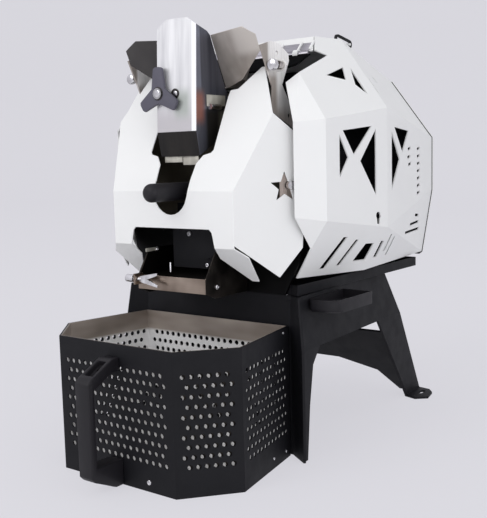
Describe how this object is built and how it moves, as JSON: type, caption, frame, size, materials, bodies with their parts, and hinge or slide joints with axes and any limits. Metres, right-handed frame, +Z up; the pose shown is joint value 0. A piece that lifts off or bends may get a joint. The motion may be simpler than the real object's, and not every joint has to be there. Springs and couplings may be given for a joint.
{
  "type": "coffee_roaster",
  "caption": "Bench-top coffee roaster: white facetted sheet-metal body over a black stand, rotating drum, feed box and hopper, discharge chute, trier and perforated cooling basket",
  "frame": {"origin": "On the surface it stands on, below the middle of its width and length", "axes": "+X to the machine's right as seen from behind its front cover towards the rear, +Y to the back, +Z up; the basket handle is at -Y"},
  "size_m": [0.318, 0.562, 0.4815],
  "materials": {
    "white_coat": "fine satin powder coat",
    "black_coat": "satin black powder coat",
    "stainless": "brushed, slightly warm",
    "steel": "machined steel",
    "chrome": "polished",
    "slate_coat": "matt slate grey coat",
    "black_plastic": "satin moulded",
    "belt_rubber": "matt",
    "board_green": "solder mask",
    "heater_sheath": "heat-tinted sheath"
  },
  "bodies": {
    "machine": {"stand_front_plate": "black_coat", "stand_side_right": "black_coat", "stand_side_left": "black_coat", "stand_rear_plate": "black_coat", "base_pan": "black_coat", "side_tray": "black_coat", "shell_right": "white_coat", "shell_left": "white_coat", "rear_panel": "black_coat", "drum_front_plate": "stainless", "drum_housing": "black_coat", "drum_rear_plate": "black_coat", "rear_bearing": "steel", "drive_belt": "belt_rubber", "motor_bracket": "black_coat", "drum_motor": "steel", "fan_frame": "black_plastic", "exhaust_collar": "stainless", "heating_element": "heater_sheath", "temperature_probe": "steel", "control_board": "board_green", "power_inlet": "black_plastic", "roof_hinge_rod": "steel", "top_baffle": "black_coat", "front_cover": "white_coat", "cover_screw_right": "chrome", "cover_screw_left": "chrome", "cover_bracket_right": "stainless", "cover_bracket_left": "stainless", "feed_box": "stainless", "hopper": "stainless", "hopper_post_right": "stainless", "hopper_post_left": "stainless", "chute": "stainless", "chute_slide": "stainless", "chute_lug": "stainless", "door_hinge_pin": "steel", "door_bracket": "black_coat"},
    "drum_rotor": {"drum": "steel", "drum_shaft": "steel", "drum_pulley": "steel"},
    "motor_rotor": {"motor_shaft": "steel", "motor_pulley": "steel"},
    "roller_right": {"drum_roller_right": "steel"},
    "roller_left": {"drum_roller_left": "steel"},
    "fan_wheel": {"fan_rotor": "black_plastic"},
    "rocker": {"power_switch": "black_plastic"},
    "roof": {"roof_lid": "white_coat"},
    "pull_loop": {"lid_pull_loop": "black_coat"},
    "screw_right": {"thumbscrew_right": "chrome"},
    "screw_left": {"thumbscrew_left": "chrome"},
    "trier": {"trier_handle": "black_plastic", "trier_scoop": "steel"},
    "gate": {"gate_knob": "slate_coat", "gate_blade": "stainless"},
    "wing_bolt": {"chute_wing_bolt": "chrome"},
    "door": {"discharge_door": "black_coat"},
    "basket": {"basket_shell": "black_coat", "basket_liner": "stainless", "basket_handle": "black_plastic"}
  },
  "joints": [
    {"name": "drum_spin", "type": "hinge", "parent": "machine", "child": "drum_rotor", "pos_m": [0, 0, 0.315], "axis": [0, 1, 0], "continuous": true},
    {"name": "motor_spin", "type": "hinge", "parent": "machine", "child": "motor_rotor", "pos_m": [-0.062, 0.19, 0.25], "axis": [0, 1, 0], "continuous": true},
    {"name": "roller_right_spin", "type": "hinge", "parent": "machine", "child": "roller_right", "pos_m": [0.05387, -0.05655, 0.25081], "axis": [0, 1, 0], "continuous": true},
    {"name": "roller_left_spin", "type": "hinge", "parent": "machine", "child": "roller_left", "pos_m": [-0.05387, -0.05655, 0.25081], "axis": [0, 1, 0], "continuous": true},
    {"name": "fan_spin", "type": "hinge", "parent": "machine", "child": "fan_wheel", "pos_m": [0.052, 0.248, 0.262], "axis": [0, 1, 0], "continuous": true},
    {"name": "switch_rock", "type": "hinge", "parent": "machine", "child": "rocker", "pos_m": [-0.088, 0.25895, 0.249], "axis": [1, 0, 0], "range_deg": [-8, 8]},
    {"name": "roof_lift", "type": "hinge", "parent": "machine", "child": "roof", "pos_m": [0, -0.00805, 0.445], "axis": [1, 0, 0], "range_deg": [0, 75]},
    {"name": "loop_swing", "type": "hinge", "parent": "roof", "child": "pull_loop", "pos_m": [0.0875, 0.09695, 0.46483], "axis": [-1, 0, 0], "range_deg": [0, 90]},
    {"name": "screw_right_turn", "type": "hinge", "parent": "machine", "child": "screw_right", "pos_m": [0.102, -0.07305, 0.4265], "axis": [0, 1, 0], "continuous": true},
    {"name": "screw_left_turn", "type": "hinge", "parent": "machine", "child": "screw_left", "pos_m": [-0.102, -0.07305, 0.4265], "axis": [0, 1, 0], "continuous": true},
    {"name": "trier_pull", "type": "slide", "parent": "machine", "child": "trier", "axis": [0, -1, 0], "range_m": [0, 0.12]},
    {"name": "gate_turn", "type": "hinge", "parent": "machine", "child": "gate", "pos_m": [-0.0215, -0.13, 0.4025], "axis": [0, 1, 0], "range_deg": [0, 90]},
    {"name": "wing_turn", "type": "hinge", "parent": "machine", "child": "wing_bolt", "pos_m": [-0.04, -0.15405, 0.2], "axis": [1, 0, 0], "continuous": true},
    {"name": "door_swing", "type": "hinge", "parent": "machine", "child": "door", "pos_m": [0, -0.09805, 0.259], "axis": [-1, 0, 0], "range_deg": [0, 60]},
    {"name": "basket_pull", "type": "slide", "parent": "machine", "child": "basket", "axis": [0, -1, 0], "range_m": [0, 0.25]}
  ],
  "couplings": [
    {"joint": "motor_spin", "follows": "drum_spin", "ratio": 2},
    {"joint": "roller_right_spin", "follows": "drum_spin", "ratio": -14.182},
    {"joint": "roller_left_spin", "follows": "drum_spin", "ratio": -14.182}
  ]
}
